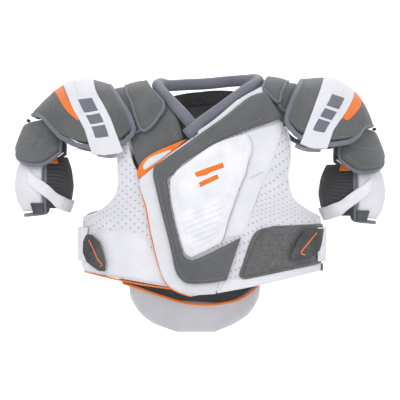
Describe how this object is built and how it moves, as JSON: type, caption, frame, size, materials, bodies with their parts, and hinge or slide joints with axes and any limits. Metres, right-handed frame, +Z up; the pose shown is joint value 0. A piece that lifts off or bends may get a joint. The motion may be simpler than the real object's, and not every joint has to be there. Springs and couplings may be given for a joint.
{
  "type": "ice hockey shoulder pads",
  "caption": "Padded vest with wrap-over chest, rolled collar, capped shoulders, bicep guards, waist straps and a tail pad.",
  "frame": {"origin": "middle of the neck opening, level with the base of the neck", "axes": "+Z up along the wearer's spine, -Y to the chest side, +X to the wearer's left"},
  "size_m": [0.6014, 0.2445, 0.4268],
  "materials": {
    "perforated_mesh": "perforated padded mesh",
    "lining": "dark spacer mesh",
    "grey_fabric": "quilted woven fabric",
    "white_fabric": "smooth knitted fabric",
    "loop_fabric": "fuzzy loop fastener",
    "webbing": "flat webbing",
    "edge_binding": "folded binding tape",
    "orange_trim": "woven trim",
    "moulded_plate": "ribbed moulded foam skin",
    "cap_plastic": "moulded shell inside the pad",
    "rubber": "ribbed soft rubber"
  },
  "bodies": {
    "vest": {"back_panel": "perforated_mesh", "back_liner": "lining", "spine_guard": "grey_fabric", "back_waist_band": "grey_fabric", "neck_patch": "lining", "hang_loop": "webbing", "right_front_panel": "perforated_mesh", "left_wrap_panel": "perforated_mesh", "chest_frame": "grey_fabric", "chest_plate": "moulded_plate", "accent_trim": "orange_trim", "collar_roll": "edge_binding", "collar_facing": "white_fabric", "landing_patch": "loop_fabric", "back_hem": "orange_trim", "right_yoke": "grey_fabric", "right_arch_pad": "grey_fabric", "right_arch_under_pad": "edge_binding", "left_yoke": "grey_fabric", "left_arch_pad": "grey_fabric", "left_arch_under_pad": "edge_binding"},
    "tail": {"tail_pad": "white_fabric"},
    "right_cap": {"right_cap_shell": "grey_fabric", "right_cap_core": "cap_plastic", "right_cap_liner": "lining", "right_cap_binding": "edge_binding"},
    "right_flap": {"right_flap_pad": "grey_fabric", "right_flap_binding": "edge_binding", "right_flap_link": "webbing"},
    "right_bicep": {"right_bicep_shell": "white_fabric", "right_bicep_liner": "lining", "right_bicep_edge": "edge_binding", "right_bicep_band": "white_fabric", "right_bicep_keeper": "rubber", "right_bicep_tab": "orange_trim"},
    "right_strap": {"right_waist_strap": "white_fabric", "right_strap_tab": "rubber"},
    "left_cap": {"left_cap_shell": "grey_fabric", "left_cap_core": "cap_plastic", "left_cap_liner": "lining", "left_cap_binding": "edge_binding"},
    "left_flap": {"left_flap_pad": "grey_fabric", "left_flap_binding": "edge_binding", "left_flap_link": "webbing"},
    "left_bicep": {"left_bicep_shell": "white_fabric", "left_bicep_liner": "lining", "left_bicep_edge": "edge_binding", "left_bicep_band": "white_fabric", "left_bicep_keeper": "rubber", "left_bicep_tab": "orange_trim"},
    "left_strap": {"left_waist_strap": "white_fabric", "left_strap_tab": "rubber"}
  },
  "joints": [
    {"name": "right_cap_lift", "type": "hinge", "parent": "vest", "child": "right_cap", "pos_m": [-0.14, 0, 0.008], "axis": [0, 1, 0], "range_deg": [0, 30]},
    {"name": "right_flap_lift", "type": "hinge", "parent": "right_cap", "child": "right_flap", "pos_m": [-0.28, 0, -0.031], "axis": [0, 1, 0], "range_deg": [0, 35]},
    {"name": "right_bicep_lift", "type": "hinge", "parent": "right_flap", "child": "right_bicep", "pos_m": [-0.296, 0, -0.091], "axis": [0, 1, 0], "range_deg": [0, 25]},
    {"name": "left_cap_lift", "type": "hinge", "parent": "vest", "child": "left_cap", "pos_m": [0.161, 0, 0.014], "axis": [0, -1, 0], "range_deg": [0, 30]},
    {"name": "left_flap_lift", "type": "hinge", "parent": "left_cap", "child": "left_flap", "pos_m": [0.284, 0, -0.047], "axis": [0, -1, 0], "range_deg": [0, 35]},
    {"name": "left_bicep_lift", "type": "hinge", "parent": "left_flap", "child": "left_bicep", "pos_m": [0.296, 0, -0.103], "axis": [0, -1, 0], "range_deg": [0, 25]},
    {"name": "right_strap_swing", "type": "hinge", "parent": "vest", "child": "right_strap", "pos_m": [-0.163, 0.075, -0.231], "axis": [0, 0, -1], "range_deg": [0, 60]},
    {"name": "left_strap_swing", "type": "hinge", "parent": "vest", "child": "left_strap", "pos_m": [0.163, 0.075, -0.231], "axis": [0, 0, 1], "range_deg": [0, 60]},
    {"name": "tail_lift", "type": "hinge", "parent": "vest", "child": "tail", "pos_m": [-0.008, 0.104, -0.288], "axis": [1, 0, 0], "range_deg": [0, 40]}
  ]
}
